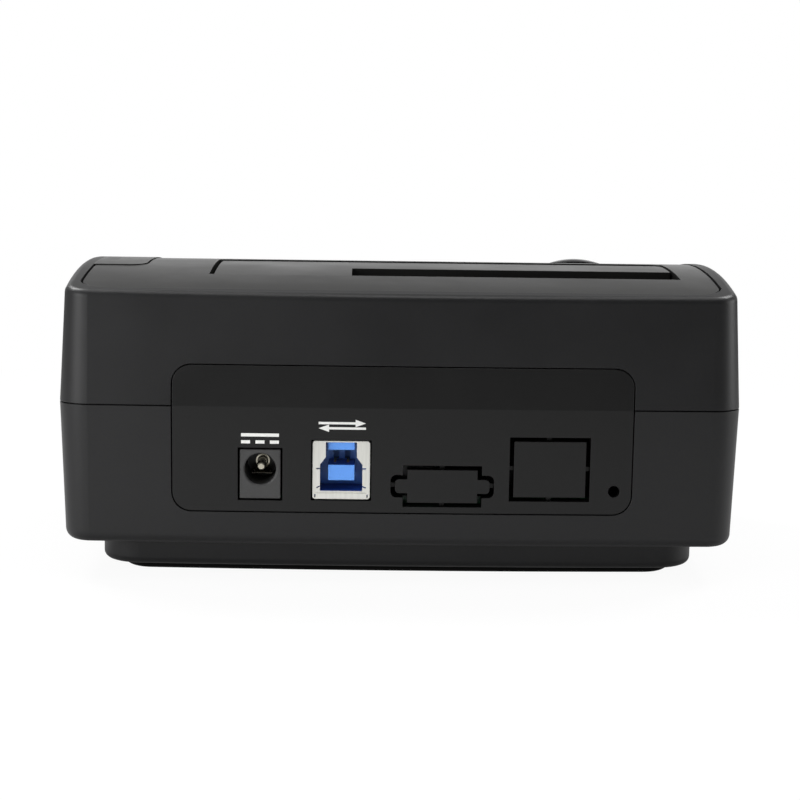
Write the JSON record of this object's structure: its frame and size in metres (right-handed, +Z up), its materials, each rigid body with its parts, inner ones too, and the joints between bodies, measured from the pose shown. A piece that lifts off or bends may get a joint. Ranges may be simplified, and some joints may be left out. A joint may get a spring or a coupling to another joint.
{
  "type": "hard drive docking station",
  "caption": "Desktop hard drive dock with an arched top, a sprung drive flap over the drive well, a data port and power jack at the rear, and a push button.",
  "frame": {"origin": "middle of the base pad's underside, in plan the middle of the case", "axes": "+Z up, +X along the case's width, the front faces -Y and the port panel faces +Y"},
  "size_m": [0.1474, 0.096, 0.0661],
  "materials": {
    "case_plastic": "fine textured, black",
    "panel_plastic": "fine textured, black",
    "well_plastic": "matte black",
    "button_plastic": "gloss black",
    "pad_rubber": "matte black",
    "steel": "plain",
    "clear_plastic": "smoked clear",
    "board_laminate": "solder-resist green",
    "connector_plastic": "satin black",
    "pale_plastic": "satin",
    "can_aluminium": "satin",
    "port_steel": "bright plated sheet",
    "port_blue": "blue",
    "contact_gold": "gold plated"
  },
  "bodies": {
    "base": {"upper_shell": "case_plastic", "lower_shell": "case_plastic", "base_pad": "pad_rubber", "top_panel": "panel_plastic", "rear_panel": "case_plastic", "drive_well": "well_plastic", "flap_hinge_pin": "steel", "flap_spring": "steel", "control_strip": "panel_plastic", "status_window": "clear_plastic", "light_guide": "clear_plastic", "power_switch_body": "connector_plastic", "front_board": "board_laminate", "status_lights": "pale_plastic", "front_board_screws": "steel", "ribbon_cable": "pale_plastic", "ribbon_sockets": "pale_plastic", "main_board": "board_laminate", "bridge_chip": "connector_plastic", "memory_chip": "connector_plastic", "voltage_regulators": "connector_plastic", "power_inductors": "connector_plastic", "small_parts": "pale_plastic", "clock_crystal": "can_aluminium", "bulk_capacitors": "can_aluminium", "main_board_screws": "steel", "well_screws": "steel", "case_screws": "steel", "drive_connector_housing": "connector_plastic", "drive_connector_contacts": "contact_gold", "data_port_shell": "port_steel", "data_port_core": "port_blue", "data_port_contacts": "contact_gold", "power_jack_housing": "connector_plastic", "power_jack_pin": "contact_gold", "power_jack_leaf": "contact_gold"},
    "flap": {"drive_flap": "panel_plastic"},
    "button": {"power_button": "button_plastic", "power_switch_plunger": "pale_plastic"}
  },
  "joints": [
    {"name": "flap_hinge", "type": "hinge", "parent": "base", "child": "flap", "pos_m": [0, -0.0075, 0.0611], "axis": [-1, 0, 0], "range_deg": [0, 90], "stiffness_Nm_per_rad": 0.004, "springref_deg": -34.38, "deforming": ["flap_spring"]},
    {"name": "button_press", "type": "slide", "parent": "base", "child": "button", "axis": [0, 0.1416, -0.9899], "range_m": [0, 0.001], "stiffness_N_per_m": 1500, "springref_m": -0.0002}
  ]
}
